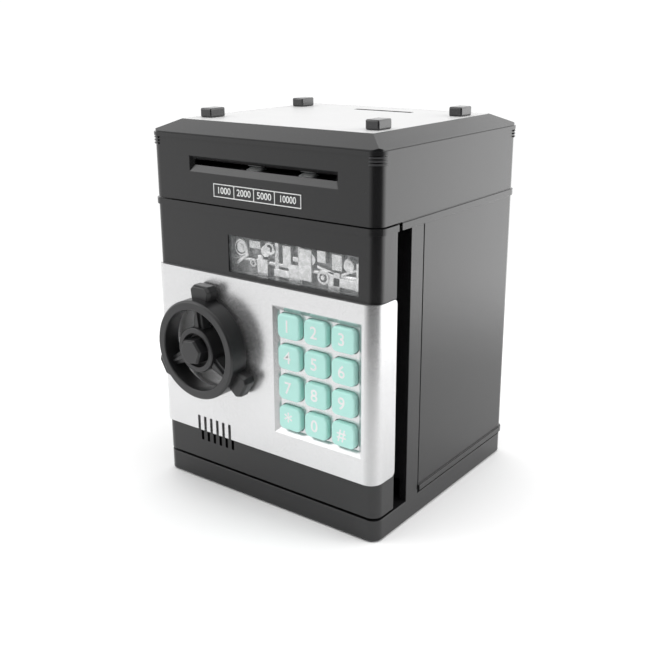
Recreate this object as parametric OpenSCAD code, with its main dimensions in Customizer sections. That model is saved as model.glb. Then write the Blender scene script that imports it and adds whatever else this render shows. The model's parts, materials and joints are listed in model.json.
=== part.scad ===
// Toy cash-machine savings bank with a hinged front door.
// +Z is up, the door faces -Y, and the origin is on the floor under the middle of the cabinet.

/* [Cabinet] */
// Width of the cabinet
body_w = 130; // [129:1:160]
// Depth of the cabinet without the handwheel
body_d = 122; // [112:1:150]
// Height of the roof panel above the floor
body_h = 180.5; // [176:0.5:220]
// Height of the base
base_h = 10.8; // [9:0.1:14]
// Height of the head above its seam
head_h = 36.5; // [34:0.5:44]
// Thickness of the moulded walls
wall = 2.4; // [1.8:0.1:3]
// Radius of the upright corners
corner_r = 5; // [4:0.5:6]
// Height that the feet lift the base
foot_lift = 0.8; // [0.5:0.1:2]
// Radius of the corner feet
foot_r = 6; // [4:0.5:7]

/* [Door] */
// Depth of the door from front to back
door_t = 14; // [13:0.5:16]
// Height of the silver panel
panel_h = 82.5; // [80:0.5:90]
// How far the silver panel stands proud of the door
panel_proud = 2; // [1.6:0.1:2.4]
// Width of the window
window_w = 73; // [60:1:76]
// Height of the window
window_h = 17.5; // [12:0.5:18]
// Distance of the hinge pin from the cabinet's right face
hinge_in = 7; // [6.5:0.1:8]
// Radius of the hinge pins
hinge_r = 2; // [1.5:0.1:2.2]

/* [Keypad] */
// Width of a key
key_w = 12.5; // [11:0.5:14]
// Height of a key
key_h = 11.4; // [10:0.1:13]
// Sideways gap between keys
key_gap_x = 2.5; // [1.5:0.1:3]
// Upright gap between keys
key_gap_z = 3.3; // [1.5:0.1:3.5]
// Travel of a key
key_travel = 1.2; // [0.8:0.1:1.2]

/* [Handwheel] */
// Outer radius of the rim
wheel_r = 24.2; // [22:0.1:26]
// Width of the rim, along the radius
rim_w = 5; // [4:0.5:6]
// Depth of the rim, front to back
rim_t = 10.5; // [8:0.5:12]
// Radius of the shaft
shaft_r = 2.2; // [1.8:0.1:2.4]

/* [Note feed] */
// Width of the note slot
slot_w = 81; // [76:1:82]
// Height of the note slot
slot_h = 2.6; // [2:0.1:3.5]
// Radius of the drive rollers
drive_r = 6; // [5:0.1:6.5]
// Radius of the idler rollers
idler_r = 4; // [3:0.1:4.5]
// Radius of both feed shafts
axle_r = 1.5; // [1:0.1:2]
// Length of the coin slot
coin_l = 34; // [28:1:40]
// Width of the coin slot
coin_w = 3; // [2.5:0.1:4]

/* [Hidden] */
$fn = 48;
fit = 0.06;            // running clearance of shafts in bores
gap = 1.4;             // shadow gap between shells
air = 0.5;             // clearance between pieces that move apart
bead = 0.8;            // how far the beads stand proud
rim_h = 3.4;           // height of the rim under the head seam
inset = 10.5;          // slope of the roof edge, seen from above
slope_h = 5.1;         // height of the sloping roof edge

hx = body_w / 2;
fy = -body_d / 2;                    // front face
by = body_d / 2;                     // back face
seam_z = body_h - head_h;            // underside of the head
shell_z = base_h + gap;              // lower edge of the shells
door_y = fy + door_t;                // back of the door
door_top = seam_z - air;
pin_x = hx - hinge_in;
pin_y = fy + 9;
// radius swept about the pins by the door's near corner
swing_r = norm([hx - corner_r - pin_x, fy + corner_r - pin_y]) + corner_r + bead + air;
post_y = door_y + 11;                // front of the hinge-side post
post_d = 10.6;
side_y = post_y + post_d;            // front of the right side wall
seam = 0.6;                          // gap between the post and the side wall
front_y = fy - panel_proud;          // face of the silver panel

panel_z = base_h + 18.2;
panel_top = panel_z + panel_h;
step = 1.4;                          // step in the door for the panel's side
window_x = hx - 10 - window_w;       // left edge of the window
window_z = panel_top + 2;

key_px = key_w + key_gap_x;          // pitch of the columns
key_pz = key_h + key_gap_z;          // pitch of the rows
key_r = 2.6;                         // corner radius of a key
key_gap = 0.35;                      // clearance round a key in its hole
pad_m = 1.9;                         // margin of the recess round the keys
pad_out = 1.2;                       // how far the recess flares out at the front
pad_in = 1.3;                        // ledge left round the recess at the back
pad_w = 2 * key_px + key_w + 2 * pad_m;
pad_h = 3 * key_pz + key_h + 2 * pad_m;
pad_x = hx - 8.1 - pad_w;            // left edge of the recess
key_x = pad_x + pad_w / 2;           // centre of the middle column
key_z = panel_z + 65;                // centre of the top row
mat_m = 3;                           // how far the mat and board reach past the recess
pad_z = key_z - 3 * key_pz - key_h / 2 - pad_m;
floor_y = fy + 1.2;                  // back of the silver web between the keys
key_back = floor_y + 0.1;
mat_y = key_back + key_travel + 0.15;
mat_t = 1.2;
board_t = 1.6;

wheel_x = -hx + 35.5;
wheel_z = panel_z + 47;
wheel_gap = 1.2;
wheel_back = front_y - wheel_gap;
wheel_front = wheel_back - rim_t;
grip_a = 89;                         // direction of the first grip
hub_r = 11;
boss = 3;                            // how far the boss stands out of the hub
lip = 0.6;                           // how far the bush stands out of the panel
spoke_h = 2.6;                       // half the height of a spoke
grip_h = 5.2;                        // half the width of a grip
grip_l = 6.4;                        // how far a grip stands out of the rim

gear_m = 0.8;
latch_n = 10;                        // teeth of the latch pinion
latch_r = gear_m * latch_n / 2;
latch_y = fy + 7;                    // front of the pinion and rack
latch_t = 4;
mesh = 0.25;                         // extra centre distance of meshed gears
rack_z = wheel_z + latch_r + mesh;   // pitch line of the rack
rack_h = 5.5;
rack_x = -hx + 10;                   // left end of the rack at rest
rack_l = 42;
arm_x = -hx + 14;
lug_x = 4.6;                         // how far the strike reaches in

slot_x = 2;                          // the slot is a little right of centre
slot_z = seam_z + 17;
drive_y = fy + wall + 1.1 + drive_r;
drive_z = slot_z + 0.3 + slot_h / 2 - 1.3 - drive_r;
idler_z = drive_z + drive_r + idler_r + 0.4;
roller_w = 8.6;
roller_at = [-7.5, 22.5];
feed_n = 14;                         // teeth of the roller gear
pinion_n = 10;
feed_c = gear_m * (feed_n + pinion_n) / 2 + mesh;
gear_x = -hx + 20;
gear_t = 4;
motor_l = 14;
block_t = 4;
block_x = [-hx + 14, hx - 18];       // left faces of the bearing blocks
deck_t = 2;
deck_z = seam_z - 0.3;               // top of the deck
coin_x = 3.5;
coin_y = by - 27;
note_y = fy + 33;                    // front of the opening that notes drop through
note_d = 24;

plate_x = [-25.9, 25.5];             // ends of the denomination plate
plate_z = [seam_z + 3.5, seam_z + 10.1];
eave_z = body_h - slope_h - 2.2;     // lower edge of the bead under the roof
trim_t = 0.8;                        // height of a corner rib
trim_p = 1.4;                        // pitch of the corner ribs
post = [7, 10, 4.4];                 // size of a roof post
pcb_x = [-50, 30];                   // ends of the control board
pcb_d = 22;

cell_r = 7.1;                        // radius of the bay that holds a cell
cell_l = 50.5;
cell_n = 3;
cell_p = 15;
bay_wall = 1.5;
cover_x = [-hx + 21.5, hx - 18];     // screws of the door's back cover
cover_z = [shell_z + 8, door_top - 6.5];
bay_x = -hx + 25;
bay_z = shell_z + 10;
bay_w = cell_l + 5;
bay_h = cell_n * cell_p + 2 * bay_wall;
bay_y = door_y + 2;                  // front of the battery bay
bay_d = bay_wall + 2 * cell_r + 0.4;

keys = ["1", "2", "3", "4", "5", "6", "7", "8", "9", "star", "0", "hash"];

black = "#333538";
silver = "#d8d9db";
mint = "#a9e5d9";
steel = "#9aa0a6";

// A box given by its low and high corners.
module box(a, b) { translate(a) cube(b - a); }

// An upright block with rounded vertical corners.
module slab(w, d, z0, z1, r) {
    translate([0, 0, z0]) linear_extrude(z1 - z0) rounded(w, d, r);
}

module rounded(w, d, r) {
    square([w - 2 * r, d], center = true);
    square([w, d - 2 * r], center = true);
    for (x = [-1, 1], y = [-1, 1]) translate([x * (w / 2 - r), y * (d / 2 - r)]) circle(r);
}

// Rods along Y and along X from a start point.
module rod_y(p, r, l) { translate(p) rotate([-90, 0, 0]) cylinder(r = r, h = l); }
module rod_x(p, r, l) { translate(p) rotate([0, 90, 0]) cylinder(r = r, h = l); }

// The flat outline of a gear with straight-sided teeth, one tooth centred on +X.
function gear_points(n, m) = [
    for (i = [0 : n - 1], s = [[-0.33, -1.15], [-0.13, 0.9], [0.13, 0.9], [0.33, -1.15]])
        let (a = (i + s[0]) * 360 / n, r = m * n / 2 + s[1] * m) [r * cos(a), r * sin(a)]];

// The head's outside, with a sloping roof edge on all four sides, drawn in by d.
module head_block(d, z0) {
    top = body_h - d;
    run = inset + d * 0.4;
    intersection() {
        slab(body_w - 2 * d, body_d - 2 * d, z0, top, corner_r - d / 2);
        rotate([90, 0, 0]) linear_extrude(2 * body_d, center = true) eaves(hx - d, z0, top, run);
        rotate([90, 0, 90]) linear_extrude(2 * body_w, center = true) eaves(by - d, z0, top, run);
    }
}

module eaves(h, z0, top, run) {
    polygon([[-h, z0], [h, z0], [h, top - slope_h], [h - run, top],
             [-h + run, top], [-h, top - slope_h]]);
}

module base_tray() {
    color(black) difference() {
        union() {
            slab(body_w, body_d, foot_lift, base_h, corner_r);
            difference() {
                slab(body_w - 2 * wall - 0.2, body_d - 2 * wall - 0.2, base_h - 1, shell_z + 2,
                     corner_r - wall);
                box([-body_w, -body_d, base_h], [body_w, door_y + 1.5, body_h]);
                box([hx - 14, -body_d, base_h], [body_w, post_y, body_h]);
            }
            box([hx - 11, post_y, base_h - 1], [hx, side_y - seam, seam_z - rim_h - 0.05]);
            box([hx - 11, door_y + 4.8, base_h - 1], [hx - 8.6, post_y + 1, seam_z - rim_h - 0.05]);
        }
        slab(body_w - 2 * wall, body_d - 2 * wall, -1, base_h - wall, corner_r - wall);
        box([-hx + wall + gap, door_y + 1.5 + gap, base_h],
            [hx - wall - gap, by - gap - wall, shell_z + 9]);
        box([hx - 9, post_y + wall, base_h], [hx - wall, side_y + 1, seam_z]);
        translate([pin_x, pin_y, -1]) cylinder(r = hinge_r, h = base_h + 2);
    }
    color(black) difference() {
        translate([pin_x, pin_y, foot_lift]) cylinder(r = hinge_r + 2.5, h = base_h - foot_lift);
        translate([pin_x, pin_y, -1]) cylinder(r = hinge_r, h = base_h + 2);
    }
}

// Four corner feet and a wider pad in the middle.
module rubber_feet() {
    color("#222222") {
        for (x = [-1, 1], y = [-1, 1])
            translate([x * (hx - 20), y * (by - 16), 0]) cylinder(r = foot_r, h = base_h - wall);
        cylinder(r = 2 * foot_r, h = base_h - wall);
    }
}

// Room for the door's hinge end to swing.
module swing_room() { translate([pin_x, pin_y, 0]) cylinder(r = swing_r, h = seam_z + 0.01); }

module rear_shell() {
    top = seam_z;
    color(black) difference() {
        union() {
            slab(body_w, body_d, shell_z, top, corner_r);
            slab(body_w + 2 * bead, body_d + 2 * bead, top - rim_h, top - 0.3, corner_r + bead);
            slab(body_w + 2 * bead, body_d + 2 * bead, shell_z, shell_z + 2.6, corner_r + bead);
        }
        slab(body_w - 2 * wall, body_d - 2 * wall, shell_z - 1, top - rim_h, corner_r - wall);
        slab(body_w - 4 * wall, body_d - 4 * wall, shell_z, top + 1, 1);
        slab(body_w - 2 * wall + air, body_d - 2 * wall + air, top - 2.4, top + 1, corner_r - wall);
        box([-body_w, -body_d, 0], [body_w, door_y + air, top + 1]);
        box([0, -body_d, 0], [body_w, side_y, top - rim_h]);
        swing_room();
    }
    // tie bar behind the top of the door
    color(black) box([-hx + wall, door_y + 4, top - rim_h], [hx - 14, door_y + 7, top - 2.6]);
    // stiffening ribs inside the back wall
    color(black) for (x = [-30, 0, 30])
        box([x - 0.8, by - wall - 2, shell_z + 4], [x + 0.8, by - wall, top - rim_h - 4]);
}

module head_housing() {
    color(black) difference() {
        union() {
            head_block(0, seam_z);
            slab(body_w + 2 * bead, body_d + 2 * bead, eave_z, eave_z + 2 * bead, corner_r + bead);
        }
        difference() {
            head_block(wall, seam_z - 1);
            translate([pin_x, pin_y, seam_z]) cylinder(r = hinge_r + 3.2, h = 8);
        }
        // seat and opening for the roof panel
        slab(body_w - 2 * inset, body_d - 2 * inset, body_h - 1.8, body_h + 1, 1);
        slab(body_w - 2 * inset - 5, body_d - 2 * inset - 5, body_h - 8, body_h + 1, 1);
        // bevelled mouth and note slot
        hull() {
            box([slot_x - slot_w / 2 - 3, fy - 1, slot_z - 4.4],
                [slot_x + slot_w / 2 + 3, fy - 0.9, slot_z + 5.2]);
            box([slot_x - slot_w / 2, fy + wall - 0.7, slot_z],
                [slot_x + slot_w / 2, fy + wall - 0.6, slot_z + slot_h]);
        }
        box([slot_x - slot_w / 2, fy - 1, slot_z], [slot_x + slot_w / 2, fy + 4, slot_z + slot_h]);
        translate([pin_x, pin_y, seam_z - 1]) cylinder(r = hinge_r, h = 7);
        // shallow bed for the denomination plate
        box([plate_x[0] - 0.1, fy - 1, plate_z[0] - 0.1], [plate_x[1] + 0.1, fy + 0.4, plate_z[1] + 0.1]);
    }
}

module roof_panel() {
    color("#dcdcdc") difference() {
        slab(body_w - 2 * inset, body_d - 2 * inset, body_h - 1.8, body_h, 1);
        box([coin_x - coin_l / 2, coin_y - coin_w / 2, 0],
            [coin_x + coin_l / 2, coin_y + coin_w / 2, body_h + 1]);
    }
}

module roof_posts() {
    color("#2a2b2d") for (x = [-1, 1], y = [-1, 1])
        translate([x * (hx - 17.2), y * (by - 26) - 1.5, body_h + post.z / 2]) cube(post, center = true);
}

module corner_trims() {
    color("#8a8c90") for (x = [-1, 1], y = [-1, 1], i = [0 : 2])
        translate([x * (hx - corner_r), y * (by - corner_r), eave_z - trim_p * (i + 1) + 0.1])
            difference() {
                cylinder(r = corner_r + 0.7, h = trim_t);
                translate([0, 0, -1]) cylinder(r = corner_r, h = 3);
                translate([x > 0 ? -9 : 0, -9, -1]) cube([9, 18, 3]);
                translate([-9, y > 0 ? -9 : 0, -1]) cube([18, 9, 3]);
            }
}

module mechanism_deck() {
    color("#c9cbce") difference() {
        slab(body_w - 2 * wall, body_d - 2 * wall, deck_z - deck_t, deck_z, corner_r - wall);
        box([-body_w, -body_d, 0], [body_w, door_y + air + 0.5, seam_z]);
        swing_room();
        box([slot_x - slot_w / 2 - 2, note_y, 0], [slot_x + slot_w / 2 + 2, note_y + note_d, seam_z]);
        box([coin_x - coin_l / 2 - 1, coin_y - 3.2, 0],
            [coin_x + coin_l / 2 + 1, coin_y + 3.2, seam_z]);
    }
    // front apron that carries the bearing blocks and guide
    color("#c9cbce") box([-hx + wall + 1.5, fy + wall + 1.5, deck_z + 0.5],
                         [pin_x - hinge_r - 4, door_y + 8, deck_z + 2]);
    color("#c9cbce") box([-hx + 12, door_y + 4, deck_z - 0.1], [hx - 14, door_y + 8, deck_z + 0.6]);
}

module note_guide() {
    y0 = fy + wall + 0.3;
    y1 = drive_y + 8;
    low = slot_z - 1.4;
    high = slot_z + slot_h + 0.3;
    x0 = slot_x - slot_w / 2 - 1.6;
    x1 = slot_x + slot_w / 2 + 1.6;
    color("#dfe1e3") difference() {
        union() {
            box([x0, y0, low], [x1, y1, low + 1.2]);
            box([x0, y0, high], [x1, y1, high + 1.2]);
            for (x = [x0, x1 - 1.2]) box([x, y0, deck_z + 2], [x + 1.2, y1, high + 1.2]);
        }
        for (x = roller_at) {
            box([x - roller_w / 2 - 0.7, drive_y - drive_r - 1.5, low - 1],
                [x + roller_w / 2 + 0.7, drive_y + drive_r + 0.7, low + 2]);
            box([x - roller_w / 2 - 0.7, drive_y - idler_r - 0.7, high - 1],
                [x + roller_w / 2 + 0.7, drive_y + idler_r + 0.7, high + 2]);
        }
        for (z = [drive_z, idler_z]) rod_x([-hx, drive_y, z], axle_r + air, body_w);
    }
}

module bearing_blocks() {
    color("#dfe1e3") for (x = block_x) difference() {
        box([x, drive_y - 3.6, deck_z + 2], [x + block_t, drive_y + 3.6, idler_z + 3.6]);
        for (z = [drive_z, idler_z])
            rod_x([x - 1, drive_y, z], axle_r + fit, block_t + 2);
    }
}

module feed_motor() {
    y = drive_y + feed_c;
    color(steel) intersection() {
        rod_x([gear_x - motor_l - 2.1, y, drive_z], 6, motor_l);
        box([-hx, y - 6, drive_z - 4], [hx, y + 6, drive_z + 4]);
    }
    color("#444444") box([gear_x - motor_l, y - 4, deck_z + 2], [gear_x - 6, y + 2, drive_z - 4]);
}

module motor_pinion() {
    y = drive_y + feed_c;
    color("white") translate([gear_x, y, drive_z]) rotate([0, 90, 0])
        rotate(180 / pinion_n) linear_extrude(gear_t) rotate(90) polygon(gear_points(pinion_n, gear_m));
    color(steel) rod_x([gear_x - 2.05, y, drive_z], 0.9, 2.1);
}

module drive_shaft() {
    color(steel) rod_x([block_x[0] - 2, drive_y, drive_z], axle_r, block_x[1] - block_x[0] + 8);
}

module on_shaft(z, r, x, w) {
    difference() {
        rod_x([x, drive_y, z], r, w);
        rod_x([x - 1, drive_y, z], axle_r, w + 2);
    }
}

module drive_rollers() {
    color("#b9bcbf") for (x = roller_at) on_shaft(drive_z, drive_r, x - roller_w / 2, roller_w);
}

module roller_gear() {
    color("white") difference() {
        translate([gear_x, drive_y, drive_z]) rotate([0, 90, 0])
            linear_extrude(gear_t) rotate(90) polygon(gear_points(feed_n, gear_m));
        rod_x([gear_x - 1, drive_y, drive_z], axle_r, gear_t + 2);
    }
}

module idler_shaft() {
    color(steel) rod_x([block_x[0] - 2, drive_y, idler_z], axle_r, block_x[1] - block_x[0] + 8);
}

module idler_rollers() {
    color("#b9bcbf") for (x = roller_at) on_shaft(idler_z, idler_r, x - roller_w / 2, roller_w);
}

module coin_chute() {
    x = coin_l / 2 + 1;
    color("#dfe1e3") difference() {
        translate([coin_x, coin_y, deck_z - deck_t])
            linear_extrude(body_h - 1.85 - deck_z + deck_t) square([2 * x - 0.2, 6], center = true);
        translate([coin_x, coin_y, 0])
            linear_extrude(body_h) square([2 * x - 2.4, 4.2], center = true);
    }
}

module control_board() {
    z = deck_z + 4;
    y = note_y + note_d + 3;
    color("#1f6b3a") box([pcb_x[0], y, z], [pcb_x[1], y + pcb_d, z + board_t]);
    color("#222222") for (x = [pcb_x[0] + 10, pcb_x[0] + 40])
        box([x, y + 5, z + board_t], [x + 14, y + 14, z + board_t + 1.6]);
    color("#dfe1e3") for (x = [pcb_x[0] + 4, pcb_x[1] - 4], dy = [4, pcb_d - 4])
        translate([x, y + dy, deck_z]) cylinder(r = 2, h = z - deck_z);
}

module denomination_plate() {
    color("#1c1c1e") box([plate_x[0], fy - 0.15, plate_z[0]], [plate_x[1], fy + 0.4, plate_z[1]]);
}

module hinge_pins() {
    color(steel) translate([pin_x, pin_y, 2]) cylinder(r = hinge_r, h = shell_z + wall - 2);
    color(steel) translate([pin_x, pin_y, door_top - wall]) cylinder(r = hinge_r, h = 8);
}

module strike_lug() {
    color(steel) box([-hx + wall, door_y + 3, rack_z - 2], [-hx + wall + lug_x, door_y + 6, rack_z + 9]);
}

module housing_screws() {
    color(steel) for (x = [-1, 1], y = [-1, 1])
        translate([x * (hx - 7.2), y * (by - 25), base_h - wall - 0.9]) cylinder(r = 2.2, h = 0.9);
}

// One corner-rounded upright plate in front of the hinge line, used by the door and panel.
module door_block(x0, x1, y0, z0, z1, r) {
    translate([0, 0, z0]) linear_extrude(z1 - z0) {
        translate([x0 + r, y0]) square([x1 - x0 - 2 * r, door_y - y0]);
        translate([x0, y0 + r]) square([x1 - x0, door_y - y0 - r]);
        for (x = [x0 + r, x1 - r]) translate([x, y0 + r]) circle(r);
    }
}

// A rounded key or its hole, from y0 to y1, larger all round by extra.
module key_block(extra, y0, y1) {
    translate([0, y1, 0]) rotate([90, 0, 0]) linear_extrude(y1 - y0)
        rounded(key_w + 2 * extra, key_h + 2 * extra, key_r + extra);
}

module at_key(i) {
    translate([key_x + (i % 3 - 1) * key_px, 0, key_z - floor(i / 3) * key_pz]) children();
}

module grille_slots(y0, y1) {
    for (i = [0 : 5]) {
        x = wheel_x - 10.4 + 4.05 * i;
        box([x - 0.85, y0, panel_z - 6.5], [x + 0.85, y1, panel_z + 7.6]);
    }
}

module door_shell() {
    color(black) difference() {
        union() {
            door_block(-hx, hx, fy, shell_z, door_top, corner_r);
            door_block(-hx - bead, hx + bead, fy - bead, door_top - rim_h + air, door_top, corner_r + bead);
        }
        box([-hx + wall, fy + wall, shell_z + wall], [hx - wall, door_y - wall, door_top - wall]);
        box([-hx + wall, fy + wall, shell_z + wall], [hx - 14, 0, door_top - wall]);
        // the silver panel lies in a step on the hinge side
        difference() {
            box([0, fy - 1, panel_z], [hx + 2, 0, panel_top]);
            door_block(-hx, hx - step, fy, panel_z - 1, panel_top + 1, corner_r - 1);
        }
        // window, keypad and speaker openings
        box([window_x, fy - 1, window_z], [window_x + window_w, fy + wall + 1, window_z + window_h]);
        box([pad_x, fy - 1, pad_z], [pad_x + pad_w, fy + wall + 1, pad_z + pad_h]);
        grille_slots(fy - 1, fy + wall + 1);
        rod_y([wheel_x, fy - 1, wheel_z], shaft_r + 2, 5);
        translate([pin_x, pin_y, 0]) cylinder(r = hinge_r + fit, h = body_h);
    }
}

module silver_panel() {
    color(silver) difference() {
        union() {
            difference() {
                door_block(-hx, hx + 0.4, front_y, panel_z, panel_top, corner_r + 1);
                door_block(-hx - 8, hx - step, fy, panel_z - 1, panel_top + 1, corner_r - 1);
            }
            box([pad_x + 0.1, fy - 0.5, pad_z + 0.1], [pad_x + pad_w - 0.1, floor_y, pad_z + pad_h - 0.1]);
        }
        // recess round the keys, flared towards the front
        hull() {
            box([pad_x - pad_out, front_y - 0.1, pad_z - pad_out],
                [pad_x + pad_w + pad_out, front_y, pad_z + pad_h + pad_out]);
            box([pad_x + pad_in, fy + 0.1, pad_z + pad_in],
                [pad_x + pad_w - pad_in, fy + 0.2, pad_z + pad_h - pad_in]);
        }
        for (i = [0 : 11]) at_key(i) key_block(key_gap, front_y - 1, floor_y + 1);
        grille_slots(front_y - 1, fy + 1);
        rod_y([wheel_x, front_y - 1, wheel_z], shaft_r + 2, 5);
    }
}

module window_lens() {
    color("#cfd8dc", 0.4)
        box([window_x + 0.1, fy + 0.8, window_z + 0.1],
            [window_x + window_w - 0.1, fy + 2, window_z + window_h - 0.1]);
}

// Cast picture of a lock's works, seen through the window.
module window_relief() {
    y = fy + 5.6;
    z = window_z + window_h / 2;
    color("#b4b7ba") {
        difference() {
            box([window_x - 1.5, fy + wall, window_z - 1.5],
                [window_x + window_w + 1.5, y + 1.4, window_z + window_h + 1.5]);
            box([window_x - 0.2, fy, window_z - 0.2],
                [window_x + window_w + 0.2, y, window_z + window_h + 0.2]);
        }
        for (u = [0.07, 0.27, 0.62, 0.9])
            rod_y([window_x + u * window_w, fy + 3.2, z + 3], 2.6, y - fy - 3);
        for (u = [0.2, 0.45, 0.75])
            box([window_x + u * window_w, fy + 3.4, window_z],
                [window_x + u * window_w + 6, y + 0.2, z - 1]);
        rod_x([window_x, y - 0.6, z - 2.5], 1.2, window_w);
        for (u = [0.34, 0.52])
            box([window_x + u * window_w, fy + 3.8, window_z],
                [window_x + u * window_w + 2, y + 0.2, window_z + window_h]);
    }
}

// A plate behind the keypad recess, from y to y + t.
module pad_plate(y, t) {
    box([pad_x - mat_m, y, pad_z - mat_m], [pad_x + pad_w + mat_m, y + t, pad_z + pad_h + mat_m]);
}

module key_mat() {
    color("#8f9698") pad_plate(mat_y + 0.6, mat_t);
    color("#8f9698") for (i = [0 : 11]) at_key(i) rod_y([0, mat_y, 0], 3.2, 0.7);
}

module keypad_board() {
    color("#1f6b3a") pad_plate(mat_y + 0.6 + mat_t, board_t);
}

module speaker() {
    p = [wheel_x - 3.5, fy + wall + 0.1, panel_z + 4];
    color("#2b2b2b") rod_y(p, 11, 2);
    color(steel) rod_y(p + [0, 2, 0], 7, 4.5);
}

module wheel_bush() {
    color("#3a3c3f") difference() {
        union() {
            rod_y([wheel_x, front_y - lip, wheel_z], shaft_r + 2, fy + wall + 1.6 - front_y + lip);
            rod_y([wheel_x, fy + wall, wheel_z], shaft_r + 3.6, 1.6);
        }
        rod_y([wheel_x, front_y - 3, wheel_z], shaft_r + fit, 12);
    }
}

module latch_guides() {
    color("#3a3c3f") for (x = [rack_x + 9, rack_x + rack_l - 8]) difference() {
        box([x, fy + wall, rack_z + 0.6], [x + 4, latch_y + latch_t + 0.6, rack_z + rack_h + 2.6]);
        box([x - 1, latch_y - 0.3, rack_z - 2], [x + 5, latch_y + latch_t + 2, rack_z + rack_h + 1.1]);
    }
}

module door_back_cover() {
    color(black) difference() {
        box([-hx + 18.6, door_y, shell_z + 4], [hx - 11, door_y + 2, door_top - 3.2]);
        for (x = cover_x, z = cover_z) rod_y([x, door_y - 1, z], 1.3, 4);
    }
    color(black) for (x = cover_x, z = cover_z) difference() {
        rod_y([x, fy + wall, z], 3, door_t - wall);
        rod_y([x, fy + wall + 3, z], 1.3, door_t);
    }
}

module battery_box() {
    color(black) difference() {
        box([bay_x, bay_y, bay_z], [bay_x + bay_w, bay_y + bay_d, bay_z + bay_h]);
        box([bay_x + bay_wall, bay_y + bay_wall, bay_z + bay_wall],
            [bay_x + bay_w - bay_wall, bay_y + bay_d + 1, bay_z + bay_h - bay_wall]);
    }
}

// Height of the middle of cell i.
function cell_z(i) = bay_z + bay_wall + cell_p * (i + 0.5);

module battery_cells() {
    for (i = [0 : cell_n - 1]) {
        p = [bay_x + bay_w / 2 - cell_l / 2, bay_y + bay_wall + cell_r + 0.1, cell_z(i)];
        color("#5f7f9b") rod_x(p, cell_r - 0.3, cell_l - 1.2);
        color(steel) rod_x(p + [cell_l - 1.2, 0, 0], 2.6, 1.2);
    }
}

module battery_contacts() {
    y = bay_y + bay_wall + cell_r + 0.1;
    color(steel) for (i = [0 : cell_n - 1], x = [bay_x + bay_wall, bay_x + bay_w - bay_wall - 0.6])
        box([x, y - 4, cell_z(i) - 4], [x + 0.6, y + 4, cell_z(i) + 4]);
}

module battery_cover() {
    color(black) box([bay_x, bay_y + bay_d, bay_z], [bay_x + bay_w, bay_y + bay_d + 1.6, bay_z + bay_h]);
}

module door_screws() {
    color(steel) for (x = cover_x, z = cover_z) {
        rod_y([x, door_y - 7, z], 1.25, 9);
        rod_y([x, door_y + 2, z], 2.4, 1.2);
    }
}

module handwheel() {
    color("#3b3d40") difference() {
        union() {
            difference() {
                rod_y([wheel_x, wheel_front, wheel_z], wheel_r, rim_t);
                rod_y([wheel_x, wheel_front - 1, wheel_z], wheel_r - rim_w, rim_t + 2);
            }
            rod_y([wheel_x, wheel_front + 1, wheel_z], hub_r, rim_t - 1);
            for (i = [0 : 2]) translate([wheel_x, 0, wheel_z]) rotate([0, -grip_a + 120 * i, 0]) {
                box([hub_r - 1, wheel_front + 3, -spoke_h], [wheel_r - rim_w + 1, wheel_back - 2, spoke_h]);
                box([wheel_r - 1.5, wheel_back - 8.5, -grip_h], [wheel_r + grip_l, wheel_back - 0.6, grip_h]);
            }
        }
        rod_y([wheel_x, wheel_front - 1, wheel_z], hub_r - 3, 5);
        rod_y([wheel_x, wheel_front, wheel_z], shaft_r, rim_t + 2);
    }
}

module handwheel_cap() {
    color("#55575a") difference() {
        rod_y([wheel_x, wheel_front - boss, wheel_z], hub_r - 5, 4 + boss);
        rod_y([wheel_x, wheel_front + 2.4, wheel_z], shaft_r, 3);
    }
}

module wheel_shaft() {
    color(steel)
        rod_y([wheel_x, wheel_front + 2.4, wheel_z], shaft_r, latch_y + latch_t - wheel_front - 2);
}

module latch_pinion() {
    color("white") difference() {
        translate([wheel_x, latch_y, wheel_z]) rotate([-90, 0, 0])
            linear_extrude(latch_t) rotate(90 + 180 / latch_n) polygon(gear_points(latch_n, gear_m));
        rod_y([wheel_x, latch_y - 1, wheel_z], shaft_r, latch_t + 2);
    }
}

module latch_bolt() {
    p = PI * gear_m;
    color("#dfe1e3") {
        box([rack_x, latch_y, rack_z + 0.95], [rack_x + rack_l, latch_y + latch_t, rack_z + rack_h]);
        for (i = [-4 : 4]) translate([wheel_x + i * p, latch_y + latch_t, rack_z])
            rotate([90, 0, 0]) linear_extrude(latch_t)
                polygon([[-0.75, 1.2], [0.75, 1.2], [0.28, -0.65], [-0.28, -0.65]]);
        // arm and foot that reach behind the strike
        box([arm_x, latch_y, rack_z + 1], [arm_x + 3, door_y + 10, rack_z + rack_h]);
        box([arm_x - 4.6, door_y + 7, rack_z + 1], [arm_x + 3, door_y + 10, rack_z + rack_h]);
    }
}

module key(i) {
    color(mint) at_key(i) key_block(0, front_y - 0.6, key_back);
}

base_tray();
rubber_feet();
rear_shell();
head_housing();
roof_panel();
roof_posts();
corner_trims();
mechanism_deck();
note_guide();
bearing_blocks();
feed_motor();
motor_pinion();
drive_shaft();
drive_rollers();
roller_gear();
idler_shaft();
idler_rollers();
coin_chute();
control_board();
denomination_plate();
hinge_pins();
strike_lug();
housing_screws();
door_shell();
silver_panel();
window_lens();
window_relief();
key_mat();
keypad_board();
speaker();
wheel_bush();
latch_guides();
door_back_cover();
battery_box();
battery_cells();
battery_contacts();
battery_cover();
door_screws();
handwheel();
handwheel_cap();
wheel_shaft();
latch_pinion();
latch_bolt();
key(0);  // key_1
key(1);  // key_2
key(2);  // key_3
key(3);  // key_4
key(4);  // key_5
key(5);  // key_6
key(6);  // key_7
key(7);  // key_8
key(8);  // key_9
key(9);  // key_star
key(10);  // key_0
key(11);  // key_hash
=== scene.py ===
"""Finishes, fine detail, stage and camera for a toy cash-machine savings bank."""

import json
import math

import bmesh
import bpy
from mathutils import Matrix, Vector


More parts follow.
